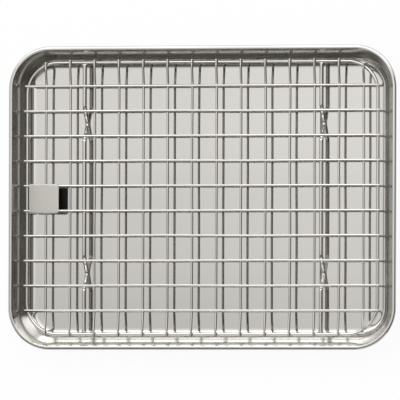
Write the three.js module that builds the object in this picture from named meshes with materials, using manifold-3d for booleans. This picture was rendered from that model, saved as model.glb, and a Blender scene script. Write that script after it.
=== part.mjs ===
// Stainless sheet pan with a drop-in welded wire rack.
// Millimetres, +Z up. The origin is the middle of the pan's underside, with +X along its length.

import * as THREE from "three";
import { mergeGeometries, mergeVertices } from "three/addons/utils/BufferGeometryUtils.js";
import Module from "manifold-3d";

const wasm = await Module();
wasm.setup();

// Pan: one pressed sheet with a rolled edge
const PAN_LENGTH = 318;
const PAN_WIDTH = 243;
const PAN_HEIGHT = 25;
const PAN_CORNER_RADIUS = 34;
const PAN_SHEET = 0.6;
const RIM_BEAD = 3.2; // outer diameter of the rolled edge
const RIM_CURL_DEG = 275; // how far the sheet is rolled round
const WALL_DRAFT_DEG = 22; // lean of the walls from upright
const FLOOR_FILLET = 7; // inner radius between floor and wall

// Rack: heights are above the pan's floor
const RACK_HEIGHT = 15; // top of the grid
const RACK_PLAY_X = 5.2; // room between frame and wall at each end
const RACK_PLAY_Y = 2.7; // room between frame and wall at each side
const RACK_SHIFT_X = -2.5; // where the rack lies within its end play
const FRAME_WIRE = 2.8;
const FRAME_CORNER_RADIUS = 25; // at the middle of the wire
const GRID_WIRE = 2;
const LONG_WIRES = 10;
const SHORT_WIRES = 14;
const LONG_END_BAY = 19; // frame to the outermost long wire
const SHORT_BAY_LEFT = 15.5; // frame to the first short wire
const SHORT_BAY_RIGHT = 11.5; // last short wire to the frame
const WIRE_OVERHANG = 0.8; // how far grid wires stand past the frame
const WIRE_BEND = 6; // bend radius at the middle of a grid wire
const WELD_GAP = 0.2; // between pieces that are welded together

// Legs: two heavier wires with pressed feet
const LEG_WIRE = 3.4;
const LEG_BAY = 3; // each leg stands outside this short wire, counted from the end
const LEG_FROM_WIRE_LEFT = 8.6; // between the middles of that wire and the left leg
const LEG_FROM_WIRE_RIGHT = 5.4; // the same at the right leg
const FOOT_INSET = 49; // foot to the frame's long side
const FOOT_SPREAD = 13.5; // half the length of a foot at the leg's height
const FOOT_BEND = 4; // bend radius at the middle of the wire
const FOOT_GAP = 0.2; // under each foot

// Tag: a folded plate clipped over the two middle long wires
const TAG_LENGTH = 24.4;
const TAG_SHEET = 0.5;
const TAG_HOOK_DEG = 210; // how far each edge wraps its wire
const TAG_WIRE_GAP = 0.1; // round the wrapped wires
const TAG_END_GAP = 1; // to the frame
const TAG_NOTCH_GAP = 0.3; // round the short wire that passes under the tag

// Facets
const CORNER_STEPS = 8;
const CURL_STEPS = 10;
const FILLET_STEPS = 5;
const HOOK_STEPS = 8;
const BEND_STEP_DEG = 8;
const WIRE_SIDES = 12;

const CORNER_STATIONS = CORNER_STEPS + 1;
const radians = THREE.MathUtils.degToRad;

// Geometry left with its positions only, and its shared vertices merged.
function weld(geometry) {
  geometry.deleteAttribute("normal");
  geometry.deleteAttribute("uv");
  const welded = mergeVertices(geometry);
  welded.computeVertexNormals();
  return welded;
}

function toSolid(geometry) {
  const welded = weld(geometry);
  const mesh = new wasm.Mesh({
    numProp: 3,
    vertProperties: welded.attributes.position.array,
    triVerts: new Uint32Array(welded.index.array),
  });
  return new wasm.Manifold(mesh);
}

function toGeometry(solid) {
  const { vertProperties, triVerts } = solid.getMesh();
  const geometry = new THREE.BufferGeometry();
  geometry.setAttribute("position", new THREE.BufferAttribute(vertProperties, 3));
  geometry.setIndex(new THREE.BufferAttribute(triVerts, 1));
  geometry.computeVertexNormals();
  return geometry;
}

// Points on an arc, each with the direction of travel there.
function arcStations(centre, radius, from, to, steps) {
  const quarter = (Math.sign(to - from) * Math.PI) / 2;
  return Array.from({ length: steps + 1 }, (_, i) => {
    const angle = THREE.MathUtils.lerp(from, to, i / steps);
    const spoke = new THREE.Vector2(Math.cos(angle), Math.sin(angle));
    return { point: spoke.multiplyScalar(radius).add(centre), heading: angle + quarter };
  });
}

// The closed outline of a bent sheet that follows the stations.
function sheetOutline(stations, thickness) {
  const face = (offset) => (station) =>
    new THREE.Vector2(0, offset).rotateAround(new THREE.Vector2(), station.heading).add(station.point);
  const left = stations.map(face(thickness / 2));
  const right = stations.map(face(-thickness / 2));
  return [...right, ...left.reverse()];
}

// A point on the arc at a corner of a rounded rectangle. Stations count round all four corners.
function cornerPoint(station, radius, halfLength, halfWidth, cornerRadius) {
  const corner = Math.floor(station / CORNER_STATIONS) % 4;
  const angle = ((corner + (station % CORNER_STATIONS) / CORNER_STEPS) * Math.PI) / 2;
  const middle = ((corner + 0.5) * Math.PI) / 2;
  const centre = new THREE.Vector2(
    Math.sign(Math.cos(middle)) * (halfLength - cornerRadius),
    Math.sign(Math.sin(middle)) * (halfWidth - cornerRadius),
  );
  return centre.add(new THREE.Vector2(Math.cos(angle), Math.sin(angle)).multiplyScalar(radius));
}

// A section carried round a rounded rectangle. Its x is measured from the corners' centres.
function roundedRing(section, halfLength, halfWidth, cornerRadius) {
  const ring = new THREE.LatheGeometry(section, 4 * CORNER_STATIONS);
  const position = ring.attributes.position;
  for (let i = 0; i < position.count; i++) {
    const { x: radius, y: height } = section[i % section.length];
    const station = Math.floor(i / section.length);
    const { x, y } = cornerPoint(station, radius, halfLength, halfWidth, cornerRadius);
    position.setXYZ(i, x, y, height);
  }
  return weld(ring);
}

// A path through given points, square to the wire at its ends and mitred between.
class WirePath extends THREE.Curve {
  constructor(points) {
    super();
    this.points = points;
  }

  getPointAt(u) {
    return this.points[Math.round(u * (this.points.length - 1))].clone();
  }

  getTangentAt(u) {
    const i = Math.round(u * (this.points.length - 1));
    const here = this.points[i];
    const before = this.points[i - 1] ?? here;
    const after = this.points[i + 1] ?? here;
    const into = here.clone().sub(before).normalize();
    const out = after.clone().sub(here).normalize();
    return into.add(out).normalize();
  }
}

// The points of a bent line, with an arc at each of its inner corners.
function roundCorners(points, radius) {
  const bends = points.slice(1, -1).flatMap((corner, i) => {
    const into = corner.clone().sub(points[i]).normalize();
    const out = points[i + 2].clone().sub(corner).normalize();
    const turn = into.angleTo(out);
    const axis = into.clone().cross(out).normalize();
    const inward = out.clone().sub(into).normalize();
    const centre = corner.clone().addScaledVector(inward, radius / Math.cos(turn / 2));
    const spoke = corner.clone().addScaledVector(into, -radius * Math.tan(turn / 2)).sub(centre);
    const steps = Math.ceil(turn / radians(BEND_STEP_DEG));
    return Array.from({ length: steps + 1 }, (_, k) =>
      spoke.clone().applyAxisAngle(axis, (turn * k) / steps).add(centre),
    );
  });
  return [points[0], ...bends, points.at(-1)];
}

function bentWire(points, diameter) {
  const section = new THREE.Shape().absarc(0, 0, diameter / 2, 0, 2 * Math.PI);
  return weld(
    new THREE.ExtrudeGeometry(section, {
      curveSegments: WIRE_SIDES / 2,
      steps: points.length - 1,
      bevelEnabled: false,
      extrudePath: new WirePath(points),
    }),
  );
}

// Pan section: r runs outwards from a corner's centre, z up from the underside
const draft = radians(WALL_DRAFT_DEG);
const beadRadius = (RIM_BEAD - PAN_SHEET) / 2;
const beadCentre = new THREE.Vector2(PAN_CORNER_RADIUS - RIM_BEAD / 2, PAN_HEIGHT - RIM_BEAD / 2);
const wallTop = beadCentre.clone();
wallTop.x -= beadRadius * Math.cos(draft);
wallTop.y += beadRadius * Math.sin(draft);

// Where the wall's sheet stands at a height, moved sideways by an offset square to the wall.
function wallAt(z, offset) {
  return wallTop.x + (Math.sin(draft) * (z - wallTop.y) + offset) / Math.cos(draft);
}

const filletRadius = FLOOR_FILLET + PAN_SHEET / 2;
const filletHeight = PAN_SHEET + FLOOR_FILLET;
const floorEdge = wallAt(filletHeight, -filletRadius);

// The walls and rolled edge are a ring that is open at the floor, and the floor's two faces close it.
function makePan() {
  const fillet = new THREE.Vector2(floorEdge, filletHeight);
  const curlStart = Math.PI - draft;
  const section = sheetOutline(
    [
      ...arcStations(fillet, filletRadius, -Math.PI / 2, -draft, FILLET_STEPS),
      ...arcStations(beadCentre, beadRadius, curlStart, curlStart - radians(RIM_CURL_DEG), CURL_STEPS),
    ],
    PAN_SHEET,
  );
  const plan = [PAN_LENGTH / 2, PAN_WIDTH / 2, PAN_CORNER_RADIUS];
  const walls = roundedRing(section, ...plan);
  const outline = Array.from({ length: 4 * CORNER_STATIONS }, (_, station) =>
    cornerPoint(station, section[0].x, ...plan),
  );
  const underside = new THREE.ShapeGeometry(new THREE.Shape(outline));
  const floor = underside.clone().translate(0, 0, section.at(-1).y);
  underside.translate(0, 0, section[0].y);
  underside.index.array.reverse();
  return weld(mergeGeometries([walls, weld(floor), weld(underside)]));
}

// Rack levels, from the top of the grid down to the feet
const longWireZ = RACK_HEIGHT - GRID_WIRE / 2;
const underLongWires = longWireZ - GRID_WIRE / 2 - WELD_GAP;
const shortWireZ = underLongWires - GRID_WIRE / 2;
const frameZ = underLongWires - FRAME_WIRE / 2;
const legZ = underLongWires - LEG_WIRE / 2;
const footZ = FOOT_GAP + LEG_WIRE / 2;

// Rack plan: the frame fits the pan at the height of its underside
const wallReach = wallAt(PAN_SHEET + frameZ - FRAME_WIRE / 2, -PAN_SHEET / 2) - PAN_CORNER_RADIUS;
const frameHalfLength = PAN_LENGTH / 2 + wallReach - RACK_PLAY_X - FRAME_WIRE / 2;
const frameHalfWidth = PAN_WIDTH / 2 + wallReach - RACK_PLAY_Y - FRAME_WIRE / 2;

// Even places from the first wire to the last.
function wirePlaces(count, first, last) {
  return Array.from({ length: count }, (_, i) => first + ((last - first) * i) / (count - 1));
}

const longWireY = wirePlaces(LONG_WIRES, LONG_END_BAY - frameHalfWidth, frameHalfWidth - LONG_END_BAY);
const shortWireX = wirePlaces(SHORT_WIRES, SHORT_BAY_LEFT - frameHalfLength, frameHalfLength - SHORT_BAY_RIGHT);

// Half the frame's span along a wire that crosses it off the middle, at an offset from the frame's own wire.
function frameReach(halfSpan, halfAcross, offMiddle, offset) {
  const intoCorner = Math.max(0, Math.abs(offMiddle) - (halfAcross - FRAME_CORNER_RADIUS));
  return halfSpan - FRAME_CORNER_RADIUS + Math.sqrt((FRAME_CORNER_RADIUS + offset) ** 2 - intoCorner ** 2);
}

function makeFrame() {
  const centre = new THREE.Vector2(FRAME_CORNER_RADIUS, frameZ);
  const round = arcStations(centre, FRAME_WIRE / 2, 0, 2 * Math.PI, WIRE_SIDES);
  const section = round.map((station) => station.point);
  return roundedRing(section, frameHalfLength, frameHalfWidth, FRAME_CORNER_RADIUS);
}

function makeLongWire(y) {
  const end = frameReach(frameHalfLength, frameHalfWidth, y, FRAME_WIRE / 2) + WIRE_OVERHANG;
  return weld(new THREE.CylinderGeometry(GRID_WIRE / 2, GRID_WIRE / 2, 2 * end, WIRE_SIDES));
}

// A short wire runs under the long ones and rises at both ends to lie on the frame.
function makeShortWire(x) {
  const riseStart = longWireY.at(-1) + GRID_WIRE;
  const riseEnd = frameReach(frameHalfWidth, frameHalfLength, x, -FRAME_WIRE / 2) - GRID_WIRE;
  const end = frameReach(frameHalfWidth, frameHalfLength, x, FRAME_WIRE / 2) + WIRE_OVERHANG;
  const half = [
    new THREE.Vector3(0, riseStart, shortWireZ),
    new THREE.Vector3(0, riseEnd, longWireZ),
    new THREE.Vector3(0, end, longWireZ),
  ];
  const otherHalf = half.map((point) => new THREE.Vector3(0, -point.y, point.z)).reverse();
  return bentWire(roundCorners([...otherHalf, ...half], WIRE_BEND), GRID_WIRE);
}

// A leg wire butts the frame at both ends and dips to the floor at two feet.
function makeLeg() {
  const end = frameHalfWidth - FRAME_WIRE / 2 - WELD_GAP;
  const footY = frameHalfWidth - FOOT_INSET;
  const drop = legZ - footZ - FOOT_BEND;
  const slope = Math.atan2(drop, FOOT_SPREAD) + Math.asin(FOOT_BEND / Math.hypot(drop, FOOT_SPREAD));
  const tipZ = footZ + FOOT_BEND - FOOT_BEND / Math.cos(slope);
  const half = [
    new THREE.Vector3(0, footY - FOOT_SPREAD, legZ),
    new THREE.Vector3(0, footY, tipZ),
    new THREE.Vector3(0, footY + FOOT_SPREAD, legZ),
    new THREE.Vector3(0, end, legZ),
  ];
  const otherHalf = half.map((point) => new THREE.Vector3(0, -point.y, point.z)).reverse();
  return bentWire(roundCorners([...otherHalf, ...half], FOOT_BEND), LEG_WIRE);
}

function makeTag() {
  const wrapRadius = GRID_WIRE / 2 + TAG_WIRE_GAP + TAG_SHEET / 2;
  const [nearY, farY] = longWireY.slice(LONG_WIRES / 2 - 1, LONG_WIRES / 2 + 1);
  const near = new THREE.Vector2(nearY, longWireZ);
  const far = new THREE.Vector2(farY, longWireZ);
  const top = Math.PI / 2;
  const hook = radians(TAG_HOOK_DEG);
  const section = sheetOutline(
    [
      ...arcStations(near, wrapRadius, top + hook, top, HOOK_STEPS),
      ...arcStations(far, wrapRadius, top, top - hook, HOOK_STEPS),
    ],
    TAG_SHEET,
  );
  const plate = new THREE.ExtrudeGeometry(new THREE.Shape(section), {
    depth: TAG_LENGTH,
    bevelEnabled: false,
  });
  const alongX = new THREE.Matrix4().makeBasis(
    new THREE.Vector3(0, 1, 0),
    new THREE.Vector3(0, 0, 1),
    new THREE.Vector3(1, 0, 0),
  );
  const start = -frameHalfLength + FRAME_WIRE / 2 + TAG_END_GAP;
  plate.applyMatrix4(alongX);
  plate.translate(start, 0, 0);
  const notchWidth = GRID_WIRE + 2 * TAG_NOTCH_GAP;
  const notchTop = shortWireZ + GRID_WIRE / 2 + TAG_NOTCH_GAP;
  return toGeometry(
    shortWireX.reduce((tag, x) => {
      const notch = new THREE.BoxGeometry(notchWidth, PAN_WIDTH, GRID_WIRE);
      return tag.subtract(toSolid(notch.translate(x, 0, notchTop - GRID_WIRE / 2)));
    }, toSolid(plate)),
  );
}

// Finishes
const panSteel = { color: 0xc8c6c1, roughness: 0.14, metalness: 1 };
const wireSteel = { color: 0xd2d0cb, roughness: 0.16, metalness: 1 };
const tagSteel = { color: 0xc0beb9, roughness: 0.4, metalness: 1 };

function addPiece(parent, name, geometry, finish) {
  const piece = new THREE.Mesh(geometry, new THREE.MeshStandardMaterial(finish));
  piece.name = name;
  parent.add(piece);
  return piece;
}

function numbered(name, index) {
  return `${name}_${String(index + 1).padStart(2, "0")}`;
}

const assembly = new THREE.Group();
addPiece(assembly, "pan", makePan(), panSteel);

const rack = new THREE.Group();
rack.position.set(RACK_SHIFT_X, 0, PAN_SHEET);
assembly.add(rack);

addPiece(rack, "rack_frame", makeFrame(), wireSteel);
longWireY.forEach((y, i) => {
  const wire = addPiece(rack, numbered("long_wire", i), makeLongWire(y), wireSteel);
  wire.position.set(0, y, longWireZ);
  wire.rotation.z = Math.PI / 2;
});
shortWireX.forEach((x, i) => {
  const wire = addPiece(rack, numbered("short_wire", i), makeShortWire(x), wireSteel);
  wire.position.x = x;
});
const legLeft = addPiece(rack, "leg_wire_left", makeLeg(), wireSteel);
legLeft.position.x = shortWireX.at(LEG_BAY - 1) - LEG_FROM_WIRE_LEFT;
const legRight = addPiece(rack, "leg_wire_right", makeLeg(), wireSteel);
legRight.position.x = shortWireX.at(-LEG_BAY) + LEG_FROM_WIRE_RIGHT;
addPiece(rack, "rack_tag", makeTag(), tagSteel);

export default assembly;
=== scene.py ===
"""Looks of a stainless sheet pan and its wire rack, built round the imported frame."""

from math import asin, atan2, ceil, cos, hypot, pi, radians, sin, tan
from random import Random

import bmesh
import bpy
from bpy.props import FloatProperty, FloatVectorProperty, PointerProperty
from mathutils import Matrix, Vector


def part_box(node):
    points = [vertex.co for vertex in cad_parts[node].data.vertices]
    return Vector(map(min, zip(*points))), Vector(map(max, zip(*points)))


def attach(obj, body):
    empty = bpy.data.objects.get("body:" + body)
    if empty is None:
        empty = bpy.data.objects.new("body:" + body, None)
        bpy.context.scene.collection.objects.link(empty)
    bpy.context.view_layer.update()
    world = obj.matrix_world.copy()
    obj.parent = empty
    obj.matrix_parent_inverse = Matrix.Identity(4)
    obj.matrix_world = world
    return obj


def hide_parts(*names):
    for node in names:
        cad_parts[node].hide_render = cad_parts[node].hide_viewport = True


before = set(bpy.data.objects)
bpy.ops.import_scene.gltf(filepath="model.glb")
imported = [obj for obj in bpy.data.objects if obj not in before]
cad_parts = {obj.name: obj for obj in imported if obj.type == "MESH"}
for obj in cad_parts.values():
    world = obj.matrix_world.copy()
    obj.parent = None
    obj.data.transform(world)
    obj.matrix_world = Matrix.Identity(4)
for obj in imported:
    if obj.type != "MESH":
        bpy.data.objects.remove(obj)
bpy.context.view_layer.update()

bl_info = {
    "name": "Sheet Pan",
    "version": (1, 0, 0),
    "blender": (4, 5, 0),
    "location": "View3D > Sidebar > Sheet Pan",
    "description": "Builds a rolled-edge sheet pan with its welded wire rack",
    "category": "Object",
}

MM = 0.001
SAME_PLACE = 1e-6  # metres within which two vertices are one
X = Vector((1, 0, 0))
Y = Vector((0, 1, 0))
Z = Vector((0, 0, 1))

BOW = 0.25 * MM  # most that a grid wire wanders from straight
BOW_WAVES = 1.5

LONG_WIRES = sorted(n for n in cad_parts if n.startswith("long_wire_"))
SHORT_WIRES = sorted(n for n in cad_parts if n.startswith("short_wire_"))
LEG_WIRES = sorted(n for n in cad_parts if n.startswith("leg_wire_"))


def middle(node):
    """The middle of a CAD node's box."""
    low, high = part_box(node)
    return (low + high) / 2


def span(node):
    """The size of a CAD node's box."""
    low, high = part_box(node)
    return high - low


# Settings


def length(name, description, default):
    return FloatProperty(
        name=name, description=description, default=default, unit="LENGTH", precision=5
    )


def angle(name, description, degrees):
    return FloatProperty(
        name=name, description=description, default=radians(degrees), subtype="ANGLE"
    )


def share(name, description, default):
    return FloatProperty(
        name=name, description=description, default=default, min=0, max=1, subtype="FACTOR"
    )


def colour(name, description, default):
    return FloatVectorProperty(
        name=name, description=description, default=default, min=0, max=1, subtype="COLOR"
    )


class PanSettings(bpy.types.PropertyGroup):
    corner: length("Corner", "Outer radius of the pan's corners", 34 * MM)
    sheet: length("Sheet", "Thickness of the steel", 0.6 * MM)
    bead: length("Bead", "Width of the rolled edge", 3.2 * MM)
    crease: length("Crease", "Bend at the rolled edge's inner side", 0.5 * MM)
    roll: length("Roll", "Bend at the rolled edge's outer side", 1.35 * MM)
    curl: angle("Curl", "How far the outer side is rolled round", 210)
    draft: angle("Draft", "Lean of the walls from upright", 22)
    fillet: length("Fillet", "Inner radius between floor and wall", 7 * MM)
    steel: colour("Steel", "Colour of the polished sheet", (0.62, 0.613, 0.598))
    gloss: share("Roughness", "Roughness of the polished floor", 0.055)
    wall_gloss: share("Wall roughness", "Roughness of the drawn walls", 0.19)


class RackSettings(bpy.types.PropertyGroup):
    frame_corner: length("Frame corner", "Bend at the middle of the frame's wire", 25 * MM)
    wire_bend: length("Wire bend", "Bend where a short wire rises", 6 * MM)
    overhang: length("Overhang", "Grid wire past the frame", 0.8 * MM)
    foot_inset: length("Foot inset", "Foot to the frame's long side", 49 * MM)
    foot_spread: length("Foot spread", "Half a foot's length at the leg", 13.5 * MM)
    foot_bend: length("Foot bend", "Bend at the middle of the leg's wire", 4 * MM)
    weld: length("Weld", "Reach of a weld beside its wires", 1.0 * MM)
    tag_sheet: length("Tag sheet", "Thickness of the folded tag", 0.5 * MM)
    tag_fold: length("Tag fold", "Bend at the middle of the tag's folded edges", 0.4 * MM)
    tag_chamfer: length("Tag chamfer", "Cut at the tag's corners", 1.3 * MM)
    steel: colour("Wire", "Colour of the polished wire", (0.62, 0.611, 0.594))
    gloss: share("Roughness", "Roughness of the polished wire", 0.05)
    tag_steel: colour("Tag", "Colour of the matte tag", (0.57, 0.562, 0.54))
    # Painted shade: the tag's underside is given a near-black colour in place of the shadow it
    # lies in above the polished floor
    tag_back_painted_shade: colour("Tag back", "Colour of the tag's smooth back", (0.07, 0.068, 0.063))


class StageSettings(bpy.types.PropertyGroup):
    tilt: angle("Tilt", "Lean of the view towards +X", 13.5)
    lean: angle("Lean", "Lean of the view towards -Y", 1.6)
    roll: angle("Roll", "Turn of the view about its axis", -0.18)
    distance: length("Distance", "Camera to the object", 8.0)
    width: length("Width", "Width of the view at the object", 0.319)
    paper: colour("Floor", "Colour of the floor and backdrop", (0.9, 0.9, 0.9))


# Shader expressions


class Value:
    """A node's socket that takes part in Python expressions."""

    def __init__(self, tree, socket=None):
        self.tree = tree
        self.socket = socket

    def node(self, kind, settings=None, inputs=None, output=0):
        """Adds a node, sets it up, then fills its sockets from numbers or other sockets."""
        made = self.tree.nodes.new("ShaderNode" + kind)
        for key, setting in (settings or {}).items():
            if key == "stops":
                ramp = made.color_ramp.elements
                while len(ramp) < len(setting):
                    ramp.new(1)
                for stop, (place, tone) in zip(ramp, setting):
                    stop.position = place
                    stop.color = (tone, tone, tone, 1)
            elif key == "ease":
                made.color_ramp.interpolation = setting
            else:
                setattr(made, key, setting)
        for key, content in (inputs or {}).items():
            socket = made.inputs[key]
            if isinstance(content, Value):
                self.tree.links.new(content.socket, socket)
            else:
                socket.default_value = content
        return Value(self.tree, made.outputs[output])

    def math(self, operation, first, second):
        """Adds a Math node."""
        return self.node("Math", {"operation": operation}, {0: first, 1: second})

    def __add__(self, other):
        return self.math("ADD", self, other)

    def __radd__(self, other):
        return self.math("ADD", other, self)

    def __sub__(self, other):
        return self.math("SUBTRACT", self, other)

    def __mul__(self, other):
        return self.math("MULTIPLY", self, other)

    def __rmul__(self, other):
        return self.math("MULTIPLY", other, self)


def new_material(name):
    """An empty node material, with the start of its expressions and its output node."""
    material = bpy.data.materials.new(name)
    material.use_nodes = True
    material.node_tree.nodes.clear()
    output = material.node_tree.nodes.new("ShaderNodeOutputMaterial")
    return material, Value(material.node_tree), output


def steel_material(name, tone, gloss, grain, waves, spread, bands=None):
    """Polished steel with drawn grain, faint waves in its face and uneven gloss.

    grain scales the fine lines along each axis, waves is the height of the broad unevenness
    and spread that of the fine lines, both in metres. bands gives another roughness by
    height in the piece, as stops in metres from 0 to its top.
    """
    material, start, output = new_material(name)
    place = start.node("TexCoord", output="Object")
    lines = start.node(
        "TexNoise",
        inputs={
            "Vector": start.node("Mapping", inputs={"Vector": place, "Scale": grain}),
            "Scale": 1.0,
            "Detail": 3.0,
            "Roughness": 0.6,
        },
    )
    broad = start.node("TexNoise", inputs={"Vector": place, "Scale": 14.0, "Detail": 1.0})
    wiped = start.node("TexNoise", inputs={"Vector": place, "Scale": 38.0, "Detail": 4.0})
    shade = broad * 0.5 + lines * 0.5
    if bands:
        height = start.node("SeparateXYZ", inputs={"Vector": place}, output="Z")
        top = bands[-1][0]
        gloss = start.node(
            "ValToRGB",
            {"stops": [(z / top, rough) for z, rough in bands]},
            {"Fac": height * (1 / top)},
        )
    dark = [0.94 * c for c in tone]
    bright = [min(1.0, 1.05 * c) for c in tone]
    body = start.node(
        "Mix",
        {"data_type": "RGBA"},
        {"Factor": shade, "A": (*dark, 1), "B": (*bright, 1)},
        output="Result",
    )
    # The noises lie round 0.5, so the three shares come to about the roughness asked for
    rough = gloss * 0.7 + wiped * (0.5 * gloss) + lines * (0.1 * gloss)
    relief = broad * waves + lines * spread
    bump = start.node("Bump", inputs={"Strength": 1.0, "Distance": 1.0, "Height": relief})
    shader = start.node(
        "BsdfPrincipled",
        inputs={"Base Color": body, "Metallic": 1.0, "Roughness": rough, "Normal": bump},
    )
    material.node_tree.links.new(shader.socket, output.inputs["Surface"])
    return material


# Mesh helpers


def edges_of(geometry):
    return [e for e in geometry if isinstance(e, bmesh.types.BMEdge)]


def verts_of(geometry):
    return [v for v in geometry if isinstance(v, bmesh.types.BMVert)]


def push_edges(mesh, edges, vec):
    """Extrudes a chain of edges along a vector and gives the new vertices and edges."""
    made = bmesh.ops.extrude_edge_only(mesh, edges=edges)["geom"]
    verts = verts_of(made)
    bmesh.ops.translate(mesh, verts=verts, vec=vec)
    return verts, [e for e in edges_of(made) if all(v in verts for v in e.verts)]


class Wire:
    """A round wire that is fed straight and bent, ring by ring, from one end."""

    SIDES = 20
    BEND_STEP = radians(5)
    END_EDGE = 0.12  # broken edge of a cut end, as a share of the diameter

    def __init__(self, mesh, point, heading, diameter):
        self.mesh = mesh
        self.point = point.copy()
        self.heading = heading.normalized()
        self.first_point = self.point.copy()
        self.first_heading = self.heading.copy()
        self.diameter = diameter
        turn = Z.rotation_difference(self.heading).to_matrix().to_4x4()
        ring = bmesh.ops.create_circle(
            mesh,
            segments=self.SIDES,
            radius=diameter / 2,
            matrix=Matrix.Translation(self.point) @ turn,
        )["verts"]
        self.first = self.last = list(dict.fromkeys(e for v in ring for e in v.link_edges))

    def feed(self, distance, steps=1):
        """Feeds straight wire in equal steps and gives the last ring."""
        step = self.heading * (distance / steps)
        for _ in range(steps):
            ring, self.last = push_edges(self.mesh, self.last, step)
            self.point += step
        return ring

    def bend(self, axis, turn, radius):
        """Bends the wire about an axis, with a radius at its middle."""
        centre = self.point + radius * axis.cross(self.heading)
        made = bmesh.ops.spin(
            self.mesh,
            geom=self.last,
            cent=centre,
            axis=axis,
            angle=turn,
            steps=max(2, ceil(turn / self.BEND_STEP)),
        )["geom_last"]
        self.last = edges_of(made)
        rotation = Matrix.Rotation(turn, 3, axis)
        self.point = centre + rotation @ (self.point - centre)
        self.heading = rotation @ self.heading

    def swell(self, distance, factors):
        """Feeds one short step and scales the new ring about its middle."""
        ring = self.feed(distance)
        bmesh.ops.scale(
            self.mesh, verts=ring, vec=factors, space=Matrix.Translation(-self.point)
        )

    def round_end(self):
        """A cut end with its edge broken."""
        edge = self.END_EDGE * self.diameter
        for step in (30, 60, 90):
            before = cos(radians(step - 30)) * edge + self.diameter / 2 - edge
            after = cos(radians(step)) * edge + self.diameter / 2 - edge
            rise = (sin(radians(step)) - sin(radians(step - 30))) * edge
            self.swell(rise, Vector((1, 1, 1)) * (after / before))
        bmesh.ops.edgeloop_fill(self.mesh, edges=self.last)

    def turn_back(self):
        """Goes on from the first end instead, facing the other way."""
        self.first, self.last = self.last, self.first
        self.point = self.first_point.copy()
        self.heading = -self.first_heading

    def round_both_ends(self):
        """Rounds the far end, then the first end."""
        self.round_end()
        self.turn_back()
        self.round_end()


def arc(mesh, vert, centre, axis, turn, steps):
    """Spins one vertex into a chain of edges and gives its far end."""
    made = bmesh.ops.spin(
        mesh, geom=[vert], cent=centre, axis=axis, angle=turn, steps=steps
    )["geom_last"]
    return verts_of(made)[0]


def stretch(mesh, vert, vec):
    """Extrudes one vertex into an edge and gives its far end."""
    made = bmesh.ops.extrude_vert_indiv(mesh, verts=[vert])["verts"][0]
    bmesh.ops.translate(mesh, verts=[made], vec=vec)
    return made


def face_up(mesh, rank):
    """Makes all normals agree, with the highest ranked face looking up."""
    bmesh.ops.recalc_face_normals(mesh, faces=mesh.faces)
    if max(mesh.faces, key=rank).normal.z < 0:
        bmesh.ops.reverse_faces(mesh, faces=mesh.faces)


def finish_piece(mesh, name, body, material, replaced=()):
    """Turns a bmesh into a smooth-shaded piece that rides on a body."""
    data = bpy.data.meshes.new(name)
    mesh.to_mesh(data)
    mesh.free()
    data.shade_smooth()
    data.materials.append(material)
    piece = bpy.data.objects.new(name, data)
    bpy.context.scene.collection.objects.link(piece)
    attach(piece, body)
    if replaced:
        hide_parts(*replaced)
    return piece


def bow(verts, along, across, half, amount, waves):
    """Lays a slight wave into a straight wire, dying out at its ends."""
    for vert in verts:
        t = vert.co.dot(along) / half
        vert.co += across * (amount * sin(waves * pi * t) * max(0.0, 1 - t * t))


# Pieces


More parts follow.
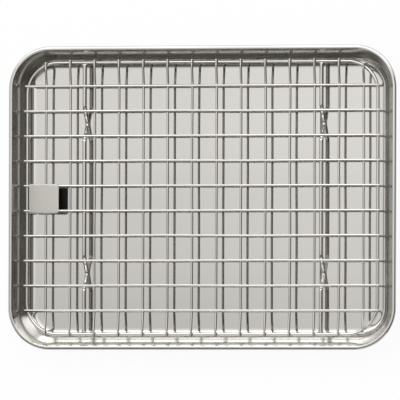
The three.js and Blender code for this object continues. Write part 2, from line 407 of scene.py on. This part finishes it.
class PAN_OT_pan(bpy.types.Operator):
    """Presses the pan: floor, leaning walls and rolled edge in one sheet."""

    bl_idname = "sheet_pan.pan"
    bl_label = "Pan"

    def execute(self, context):
        pan = context.scene.sheet_pan
        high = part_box("pan")[1]
        centre = Vector((high.x - pan.corner, high.y - pan.corner, 0))
        top = high.z - pan.sheet / 2
        outer = high.x - pan.sheet / 2 - pan.roll
        inner = high.x - pan.bead + pan.sheet / 2 + pan.crease
        crease = Vector((inner, centre.y, top - pan.crease))
        wall_top = crease + pan.crease * (Z * sin(pan.draft) - X * cos(pan.draft))
        fillet_radius = pan.fillet + pan.sheet / 2
        fillet_z = pan.sheet + pan.fillet
        wall_x = wall_top.x - (wall_top.z - fillet_z) * tan(pan.draft)
        bend = Vector((wall_x - fillet_radius / cos(pan.draft), centre.y, fillet_z))

        # Section from the floor, up the wall and over to the end of the roll
        mesh = bmesh.new()
        vert = mesh.verts.new(bend - Z * fillet_radius)
        vert = arc(mesh, vert, bend, -Y, pi / 2 - pan.draft, 14)
        wall = wall_top - vert.co
        for part in (0.03, 0.3, 0.34, 0.3, 0.03):
            vert = stretch(mesh, vert, wall * part)
        vert = arc(mesh, vert, crease, Y, pi / 2 - pan.draft, 8)
        vert = stretch(mesh, vert, X * (outer - inner))
        arc(mesh, vert, Vector((outer, centre.y, top - pan.roll)), Y, pan.curl, 24)

        # A quarter of the pan, then the other three by mirroring
        section = mesh.edges[:]
        turned = bmesh.ops.spin(
            mesh, geom=section, cent=centre, axis=Z, angle=pi / 2, steps=28
        )["geom_last"]
        for edges, reach in ((section, -Y * centre.y), (edges_of(turned), -X * centre.x)):
            for part in (0.03, 0.47, 0.5):
                edges = push_edges(mesh, edges, reach * part)[1]
        for side in "XY":
            bmesh.ops.mirror(
                mesh,
                geom=mesh.verts[:] + mesh.edges[:] + mesh.faces[:],
                axis=side,
                merge_dist=SAME_PLACE,
            )
        bmesh.ops.remove_doubles(mesh, verts=mesh.verts, dist=SAME_PLACE)
        rim = [
            e
            for e in mesh.edges
            if e.is_boundary and all(v.co.z < pan.sheet for v in e.verts)
        ]
        floor = bmesh.ops.edgeloop_fill(mesh, edges=rim)["faces"]
        bmesh.ops.inset_region(mesh, faces=floor, thickness=0.8 * MM, use_even_offset=True)
        face_up(mesh, lambda f: f.calc_area())
        steel = steel_material(
            "polished_sheet",
            pan.steel,
            pan.gloss,
            grain=(60.0, 2600.0, 2600.0),
            waves=0.00006,
            spread=0.0,
            bands=[
                (0.0, pan.gloss),
                (pan.sheet + 0.2 * pan.fillet, pan.gloss),
                (pan.sheet + pan.fillet, pan.wall_gloss),
                (high.z - 1.6 * MM, pan.wall_gloss),
                (high.z - 0.8 * MM, pan.gloss),
                (high.z, pan.gloss),
            ],
        )
        piece = finish_piece(mesh, "pan_shell", "pan", steel, ["pan"])
        sheet = piece.modifiers.new("sheet", "SOLIDIFY")
        sheet.thickness = pan.sheet
        sheet.offset = 0
        sheet.use_even_offset = True
        return {"FINISHED"}


def wire_material():
    """The rack's one wire finish, made on first use."""
    if "polished_wire" in bpy.data.materials:
        return bpy.data.materials["polished_wire"]
    rack = bpy.context.scene.wire_rack
    return steel_material(
        "polished_wire",
        rack.steel,
        rack.gloss,
        grain=(900.0, 900.0, 900.0),
        waves=0.00002,
        spread=0.0,
    )


class PAN_OT_rack_frame(bpy.types.Operator):
    """Bends the rack's heavier outer wire into a closed ring."""

    bl_idname = "sheet_pan.rack_frame"
    bl_label = "Rack frame"

    def execute(self, context):
        corner = context.scene.wire_rack.frame_corner
        size = span("rack_frame")
        centre = middle("rack_frame")
        half_x = (size.x - size.z) / 2
        half_y = (size.y - size.z) / 2
        mesh = bmesh.new()
        wire = Wire(mesh, centre - Y * half_y, X, size.z)
        wire.feed(half_x - corner, 4)
        for half in (half_y, half_x, half_y):
            wire.bend(Z, pi / 2, corner)
            wire.feed(2 * (half - corner), 8)
        wire.bend(Z, pi / 2, corner)
        wire.feed(half_x - corner, 4)
        bmesh.ops.remove_doubles(mesh, verts=mesh.verts, dist=SAME_PLACE)
        bmesh.ops.recalc_face_normals(mesh, faces=mesh.faces)
        finish_piece(
            mesh, "frame_wire", "rack", wire_material(), ["rack_frame"]
        )
        return {"FINISHED"}


class PAN_OT_long_wires(bpy.types.Operator):
    """Cuts the straight grid wires that lie along the pan."""

    bl_idname = "sheet_pan.long_wires"
    bl_label = "Long wires"

    def execute(self, context):
        draw = Random(7)
        for node in LONG_WIRES:
            size = span(node)
            edge = Wire.END_EDGE * size.z
            start = middle(node) - X * (size.x / 2 - edge)
            mesh = bmesh.new()
            wire = Wire(mesh, start, X, size.z)
            wire.feed(size.x - 2 * edge, 48)
            wire.round_both_ends()
            bmesh.ops.recalc_face_normals(mesh, faces=mesh.faces)
            bow(mesh.verts, X, Y, size.x / 2, draw.uniform(-BOW, BOW), BOW_WAVES)
            name = node.replace("long_wire", "long_rod")
            finish_piece(mesh, name, "rack", wire_material(), [node])
        return {"FINISHED"}


class PAN_OT_short_wires(bpy.types.Operator):
    """Bends the cross wires that run under the long ones and rise onto the frame."""

    bl_idname = "sheet_pan.short_wires"
    bl_label = "Short wires"

    def execute(self, context):
        rack = context.scene.wire_rack
        draw = Random(11)
        diameter = span(LONG_WIRES[0]).z
        frame_wire = span("rack_frame").z
        rise_start = middle(LONG_WIRES[-1]).y + diameter
        for node in SHORT_WIRES:
            low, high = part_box(node)
            x = (low.x + high.x) / 2
            rise_end = high.y - rack.overhang - frame_wire - diameter
            rise = high.z - low.z - diameter
            slope = atan2(rise, rise_end - rise_start)
            cut = rack.wire_bend * tan(slope / 2)
            edge = Wire.END_EDGE * diameter
            start = Vector((x, low.y + edge, high.z - diameter / 2))
            mesh = bmesh.new()
            wire = Wire(mesh, start, Y, diameter)
            end_run = high.y - edge - rise_end - cut
            ramp = hypot(rise, rise_end - rise_start) - 2 * cut
            wire.feed(end_run, 2)
            wire.bend(-X, slope, rack.wire_bend)
            wire.feed(ramp, 2)
            wire.bend(X, slope, rack.wire_bend)
            wire.feed(2 * (rise_start - cut), 36)
            wire.bend(X, slope, rack.wire_bend)
            wire.feed(ramp, 2)
            wire.bend(-X, slope, rack.wire_bend)
            wire.feed(end_run, 2)
            wire.round_both_ends()
            bmesh.ops.recalc_face_normals(mesh, faces=mesh.faces)
            bow(mesh.verts, Y, X, high.y, draw.uniform(-BOW, BOW), BOW_WAVES)
            name = node.replace("short_wire", "short_rod")
            finish_piece(mesh, name, "rack", wire_material(), [node])
        return {"FINISHED"}


class PAN_OT_legs(bpy.types.Operator):
    """Bends the two leg wires, with their feet and their welded flared ends."""

    bl_idname = "sheet_pan.legs"
    bl_label = "Legs"

    def execute(self, context):
        rack = context.scene.wire_rack
        frame_low, frame_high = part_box("rack_frame")
        frame_wire = frame_high.z - frame_low.z
        for node in LEG_WIRES:
            low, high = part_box(node)
            x = (low.x + high.x) / 2
            diameter = high.x - low.x
            leg_z = high.z - diameter / 2
            foot_z = low.z + diameter / 2
            foot_y = frame_high.y - frame_wire / 2 - rack.foot_inset
            bend = rack.foot_bend
            drop = leg_z - foot_z - bend
            slope = atan2(drop, rack.foot_spread) + asin(bend / hypot(drop, rack.foot_spread))
            tip_z = foot_z + bend - bend / cos(slope)
            top_cut = bend * tan(slope / 2)
            tip_cut = bend * tan(slope)
            ramp = hypot(rack.foot_spread, leg_z - tip_z) - top_cut - tip_cut
            end_run = high.y - foot_y - rack.foot_spread - top_cut
            flare = 3.2 * MM
            start = Vector((x, low.y + flare, leg_z))
            mesh = bmesh.new()
            wire = Wire(mesh, start, Y, diameter)
            wire.feed(end_run - flare, 6)
            for next_run in (2 * (foot_y - rack.foot_spread - top_cut), end_run - flare):
                wire.bend(-X, slope, bend)
                wire.feed(ramp, 3)
                wire.bend(X, 2 * slope, bend)
                wire.feed(ramp, 3)
                wire.bend(-X, slope, bend)
                wire.feed(next_run, 12)
            sunk = 0.5 * MM  # how far a flared end runs into the frame
            reach = frame_high.y - frame_wire + sunk - (high.y - flare)
            widths = (1.02, 1.06, 1.14, 1.3, 1.55, 1.9)
            for _ in range(2):
                wide = 1.0
                for width in widths:
                    wire.swell(reach / len(widths), Vector((width / wide, 1, 1)))
                    wide = width
                bmesh.ops.edgeloop_fill(mesh, edges=wire.last)
                wire.turn_back()
            bmesh.ops.recalc_face_normals(mesh, faces=mesh.faces)
            name = node.replace("leg_wire", "leg_rod")
            finish_piece(mesh, name, "rack", wire_material(), [node])
        return {"FINISHED"}


class PAN_OT_welds(bpy.types.Operator):
    """Sets a small weld wherever two of the rack's wires cross."""

    bl_idname = "sheet_pan.welds"
    bl_label = "Welds"

    def execute(self, context):
        rack = context.scene.wire_rack
        mesh = bmesh.new()
        diameter = span(LONG_WIRES[0]).z
        frame_low, frame_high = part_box("rack_frame")
        frame_wire = frame_high.z - frame_low.z
        inset = rack.overhang + frame_wire / 2
        crossing = Vector((rack.weld, rack.weld, 0.5 * rack.weld))
        nugget = Vector((1.9 * MM, 1.45 * MM, 1.0 * MM))
        under_crossing = 0.55 * diameter
        under_long_end = 0.3 * diameter
        under_short_end = 0.85 * diameter
        spots = []
        for long_wire in LONG_WIRES:
            low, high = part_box(long_wire)
            at = middle(long_wire)
            for short_wire in SHORT_WIRES:
                spots.append((middle(short_wire).x, at.y, at.z - under_crossing, crossing))
            for x in (low.x + inset, high.x - inset):
                spots.append((x, at.y, at.z - under_long_end, nugget))
        for short_wire in SHORT_WIRES:
            low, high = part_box(short_wire)
            x = middle(short_wire).x
            for y in (low.y + inset, high.y - inset):
                spots.append((x, y, high.z - under_short_end, nugget.yxz * 0.85))
        for x, y, z, half in spots:
            bmesh.ops.create_uvsphere(
                mesh,
                u_segments=12,
                v_segments=8,
                radius=1,
                matrix=Matrix.Translation((x, y, z)) @ Matrix.Diagonal((*half, 1)),
            )
        finish_piece(mesh, "grid_welds", "rack", wire_material())
        return {"FINISHED"}


class PAN_OT_tag(bpy.types.Operator):
    """Folds the bare matte tag over the two middle long wires."""

    bl_idname = "sheet_pan.tag"
    bl_label = "Tag"

    def execute(self, context):
        rack = context.scene.wire_rack
        low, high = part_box("rack_tag")
        fold = rack.tag_fold
        half_sheet = rack.tag_sheet / 2
        grid_wire = span(LONG_WIRES[0]).z
        crossed = [middle(n).x for n in SHORT_WIRES if low.x < middle(n).x < high.x]
        room = grid_wire / 2 + 0.4 * MM
        cuts = sorted(c + s * room for c in crossed for s in (-1, 1))
        places = [low.x, *cuts, high.x]

        # Section from the near lip, up round the near edge, over and down to the far lip
        top = high.z - half_sheet
        under = low.z + half_sheet
        near = 0.35 * MM  # half of what the near fold stands out more than the far one
        side = high.y - half_sheet + near
        lip = 2.2 * MM
        mesh = bmesh.new()
        vert = mesh.verts.new((low.x, -side + fold + lip, under))
        vert = stretch(mesh, vert, -Y * lip)
        vert = arc(mesh, vert, Vector((low.x, -side + fold, under + fold)), -X, pi / 2, 6)
        vert = stretch(mesh, vert, Z * (top - under - 2 * fold))
        vert = arc(mesh, vert, Vector((low.x, -side + fold, top - fold)), -X, pi / 2, 6)
        for part in (0.03, 0.47, 0.47, 0.03):
            vert = stretch(mesh, vert, Y * 2 * (side - fold) * part)
        vert = arc(mesh, vert, Vector((low.x, side - fold, top - fold)), -X, pi / 2, 6)
        vert = stretch(mesh, vert, -Z * (top - under - 2 * fold))
        vert = arc(mesh, vert, Vector((low.x, side - fold, under + fold)), -X, pi / 2, 6)
        stretch(mesh, vert, -Y * lip)
        edges = mesh.edges[:]
        for before, after in zip(places, places[1:]):
            edges = push_edges(mesh, edges, X * (after - before))[1]

        # The lips are cut away where a short wire passes, and the corners are cut off
        notch = [
            f
            for f in mesh.faces
            if f.calc_center_median().z < under + 0.9 * fold
            and any(abs(f.calc_center_median().x - c) < room for c in crossed)
        ]
        bmesh.ops.delete(mesh, geom=notch, context="FACES")
        for side_x, at_x in ((-1, low.x), (1, high.x)):
            for side_y, at_y in ((-1, -side - half_sheet), (1, side + half_sheet)):
                bmesh.ops.bisect_plane(
                    mesh,
                    geom=mesh.verts[:] + mesh.edges[:] + mesh.faces[:],
                    plane_co=Vector((at_x - side_x * rack.tag_chamfer, at_y, 0)),
                    plane_no=Vector((side_x, side_y, 0)),
                    clear_outer=True,
                )
        bmesh.ops.translate(mesh, verts=mesh.verts, vec=-Y * near)
        face_up(mesh, lambda f: f.calc_center_median().z)
        steel = steel_material(
            "matte_tag",
            rack.tag_steel,
            gloss=0.5,
            grain=(1500.0, 1500.0, 1500.0),
            waves=0.0,
            spread=0.000004,
        )
        piece = finish_piece(mesh, "folded_tag", "rack", steel, ["rack_tag"])
        # The tag's back is painted near-black: painted shade for the underside's own shadow and
        # its dark mirror image in the floor
        back = steel_material(
            "tag_back_painted_shade",
            rack.tag_back_painted_shade,
            gloss=0.35,
            grain=(900.0, 900.0, 900.0),
            waves=0.0,
            spread=0.0,
        )
        piece.data.materials.append(back)
        sheet = piece.modifiers.new("sheet", "SOLIDIFY")
        sheet.thickness = rack.tag_sheet
        sheet.offset = 0
        sheet.material_offset = 1
        edge = piece.modifiers.new("edge", "BEVEL")
        edge.width = 0.08 * MM
        edge.segments = 2
        edge.limit_method = "ANGLE"
        return {"FINISHED"}


# Stage


def plate(name, matrix, width, height, material):
    """A flat rectangle that belongs to the stage."""
    mesh = bmesh.new()
    bmesh.ops.create_grid(mesh, x_segments=1, y_segments=1, size=0.5)
    bmesh.ops.scale(mesh, verts=mesh.verts, vec=(width, height, 1))
    bmesh.ops.transform(mesh, verts=mesh.verts, matrix=matrix)
    data = bpy.data.meshes.new(name)
    mesh.to_mesh(data)
    mesh.free()
    data.materials.append(material)
    made = bpy.data.objects.new(name, data)
    bpy.context.scene.collection.objects.link(made)
    return made


def card(name, matrix, width, height, material):
    """A studio card that only the metal sees."""
    made = plate(name, matrix, width, height, material)
    made.visible_camera = False
    made.visible_diffuse = False
    made.visible_shadow = False
    made.visible_transmission = False


def glow_material(name, across, along, strength):
    """Light that changes over a card, by stops across X and along Y in metres."""
    material, start, output = new_material(name)
    place = start.node("TexCoord", output="Object")
    glow = 1.0
    for axis, stops in (("X", across), ("Y", along)):
        first, last = stops[0][0], stops[-1][0]
        run = last - first
        along_axis = start.node("SeparateXYZ", inputs={"Vector": place}, output=axis)
        glow = glow * start.node(
            "ValToRGB",
            {"stops": [((p - first) / run, tone) for p, tone in stops], "ease": "EASE"},
            {"Fac": (along_axis - first) * (1 / run)},
        )
    tone = start.node(
        "Mix",
        {"data_type": "RGBA"},
        {"Factor": glow, "A": (0.015, 0.013, 0.01, 1), "B": (1, 0.99, 0.967, 1)},
        output="Result",
    )
    shader = start.node("Emission", inputs={"Color": tone, "Strength": strength})
    material.node_tree.links.new(shader.socket, output.inputs["Surface"])
    return material


def plain_glow(name, tone, strength=1.0):
    """Even light over a card."""
    material, start, output = new_material(name)
    shader = start.node("Emission", inputs={"Color": (*tone, 1), "Strength": strength})
    material.node_tree.links.new(shader.socket, output.inputs["Surface"])
    return material


def seen_directly(start):
    """1 for rays from the camera and from glossy metal, 0 for the others."""
    camera = start.node("LightPath", output="Is Camera Ray")
    glossy = start.node("LightPath", output="Is Glossy Ray")
    return camera + glossy


class PAN_OT_stage(bpy.types.Operator):
    """Sets the pale floor, the soft light and the camera."""

    bl_idname = "sheet_pan.stage"
    bl_label = "Stage"

    def execute(self, context):
        stage = context.scene.pan_stage
        scene = context.scene
        scene.view_settings.view_transform = "Standard"
        scene.cycles.max_bounces = 20
        scene.cycles.glossy_bounces = 16

        # Floor: mostly plain white to the eye, with the object's shadow left in it
        paper, start, output = new_material("floor_paper")
        lit = start.node("BsdfDiffuse", inputs={"Color": (*stage.paper, 1)})
        white = start.node("Emission", inputs={"Color": (1, 1, 1, 1), "Strength": 1.0})
        plain = 0.94  # share of the floor's look that stays white in the shadow
        mixed = start.node(
            "MixShader", inputs={0: seen_directly(start) * plain, 1: lit, 2: white}
        )
        paper.node_tree.links.new(mixed.socket, output.inputs["Surface"])
        plate("floor", Matrix.Translation(-Z * 0.2 * MM), 80, 80, paper)

        # World: white where it is seen, softer as a light
        world = bpy.data.worlds.new("studio")
        world.use_nodes = True
        scene.world = world
        tree = world.node_tree
        tree.nodes.clear()
        start = Value(tree)
        back = start.node(
            "Background",
            inputs={"Color": (1, 1, 1, 1), "Strength": seen_directly(start) * 0.5 + 0.5},
        )
        out = tree.nodes.new("ShaderNodeOutputWorld")
        tree.links.new(back.socket, out.inputs["Surface"])

        # Cards that the polished metal mirrors: a graded softbox overhead, pale walls and
        # strips round the sides, and dark flags between them
        sky = glow_material(
            "softbox_glow",
            across=[
                (-1.6, 0.6),
                (-1.2, 0.65),
                (-0.9, 0.48),
                (-0.6, 0.58),
                (-0.45, 0.78),
                (-0.3, 0.8),
                (-0.12, 0.86),
                (0.2, 1.0),
                (0.35, 0.8),
                (0.5, 0.25),
                (0.65, 0.12),
                (0.95, 0.1),
                (1.6, 0.03),
            ],
            along=[
                (-1.6, 0.0),
                (-0.6, 0.003),
                (-0.4, 0.03),
                (-0.2, 0.118),
                (-0.1, 0.16),
                (0.0, 0.188),
                (0.1, 0.216),
                (0.3, 0.23),
                (0.55, 0.32),
                (0.75, 0.95),
                (1.15, 1.0),
                (1.35, 0.3),
                (1.6, 0.2),
            ],
            strength=5.8,
        )
        daylight = (1, 0.992, 0.975)
        corner = plain_glow("corner_glow", daylight, 2.6)
        shade = plain_glow("flag_shade", (0.05, 0.044, 0.034))
        strip = plain_glow("strip_glow", daylight, 1.2)
        line = plain_glow("line_glow", daylight, 3.2)
        pale = plain_glow("pale_glow", (0.95, 0.942, 0.925))
        window = plain_glow("window_glow", daylight, 1.1)
        overhead = Matrix()
        upright = Matrix.Rotation(pi / 2, 4, "X")
        sideways = Matrix.Rotation(pi / 2, 4, "Z") @ upright
        for name, at, facing, width, height, glow in (
            ("softbox", (0, 0, 1.0), overhead, 3.2, 3.2, sky),
            ("corner_card", (0.74, 0.98, 0.99), overhead, 1.52, 0.9, corner),
            ("front_flag", (0, -1.6, 0.55), upright, 3.2, 0.9, shade),
            ("strip_left", (-1.2, -1.55, 0.5), upright, 0.8, 0.8, strip),
            ("strip_right", (0.75, -1.55, 0.5), upright, 1.7, 0.8, strip),
            ("front_line", (-0.45, -1.55, 0.48), upright, 0.8, 0.16, line),
            ("back_line", (-0.45, 1.59, 0.42), upright, 0.8, 0.16, line),
            ("right_flag", (1.6, 0, 0.55), sideways, 3.2, 0.9, shade),
            ("left_wall", (-1.6, 0, 0.7), sideways, 3.2, 0.58, pale),
            ("left_flag", (-1.6, 0, 0.21), sideways, 3.2, 0.38, shade),
            ("back_window", (0, 1.6, 0.51), upright, 3.2, 0.98, window),
        ):
            card(name, Matrix.Translation(at) @ facing, width, height, glow)

        # Lamp that lights the matte surfaces and casts the shadow
        lamp = bpy.data.lights.new("key", "AREA")
        lamp.shape = "RECTANGLE"
        lamp.size = 1.6
        lamp.size_y = 1.2
        lamp.energy = 14
        key = bpy.data.objects.new("key", lamp)
        scene.collection.objects.link(key)
        key.location = (-0.2, 0.55, 1.3)
        key.rotation_euler = (-key.location).to_track_quat("-Z", "Y").to_euler()
        key.visible_glossy = False

        # Camera: a long lens at the photograph's angle
        view = bpy.data.cameras.new("view")
        view.sensor_width = 36
        view.lens = view.sensor_width * stage.distance / stage.width
        view.clip_start = 0.1
        view.clip_end = 200
        camera = bpy.data.objects.new("view", view)
        scene.collection.objects.link(camera)
        aim = Vector((-0.95 * MM, -1.9 * MM, 25 * MM))
        toward = Vector((tan(stage.tilt), -tan(stage.lean), 1)).normalized()
        turn = Matrix.Rotation(stage.roll, 4, toward)
        right = (X - toward * toward.dot(X)).normalized()
        up = toward.cross(right)
        basis = Matrix((right, up, toward)).transposed().to_4x4()
        camera.matrix_world = (
            Matrix.Translation(aim + toward * stage.distance) @ turn @ basis
        )
        scene.camera = camera
        return {"FINISHED"}


# Panel and registration


class PAN_PT_sidebar(bpy.types.Panel):
    """Lists the pieces and their settings."""

    bl_idname = "PAN_PT_sidebar"
    bl_label = "Sheet Pan"
    bl_space_type = "VIEW_3D"
    bl_region_type = "UI"
    bl_category = "Sheet Pan"

    def draw(self, context):
        for step in STEPS:
            self.layout.operator(step.bl_idname)
        for group in (context.scene.sheet_pan, context.scene.wire_rack, context.scene.pan_stage):
            box = self.layout.box()
            for name in group.bl_rna.properties.keys():
                if name not in ("rna_type", "name"):
                    box.prop(group, name)


STEPS = (
    PAN_OT_pan,
    PAN_OT_rack_frame,
    PAN_OT_long_wires,
    PAN_OT_short_wires,
    PAN_OT_legs,
    PAN_OT_welds,
    PAN_OT_tag,
    PAN_OT_stage,
)
SETTINGS = {"sheet_pan": PanSettings, "wire_rack": RackSettings, "pan_stage": StageSettings}


def register():
    for name, group in SETTINGS.items():
        bpy.utils.register_class(group)
        setattr(bpy.types.Scene, name, PointerProperty(type=group))
    for item in (*STEPS, PAN_PT_sidebar):
        bpy.utils.register_class(item)


def unregister():
    for item in (*STEPS, PAN_PT_sidebar):
        bpy.utils.unregister_class(item)
    for name, group in SETTINGS.items():
        delattr(bpy.types.Scene, name)
        bpy.utils.unregister_class(group)


def main():
    register()
    bpy.ops.sheet_pan.pan()
    bpy.ops.sheet_pan.rack_frame()
    bpy.ops.sheet_pan.long_wires()
    bpy.ops.sheet_pan.short_wires()
    bpy.ops.sheet_pan.legs()
    bpy.ops.sheet_pan.welds()
    bpy.ops.sheet_pan.tag()
    bpy.ops.sheet_pan.stage()


if __name__ == "__main__":
    main()
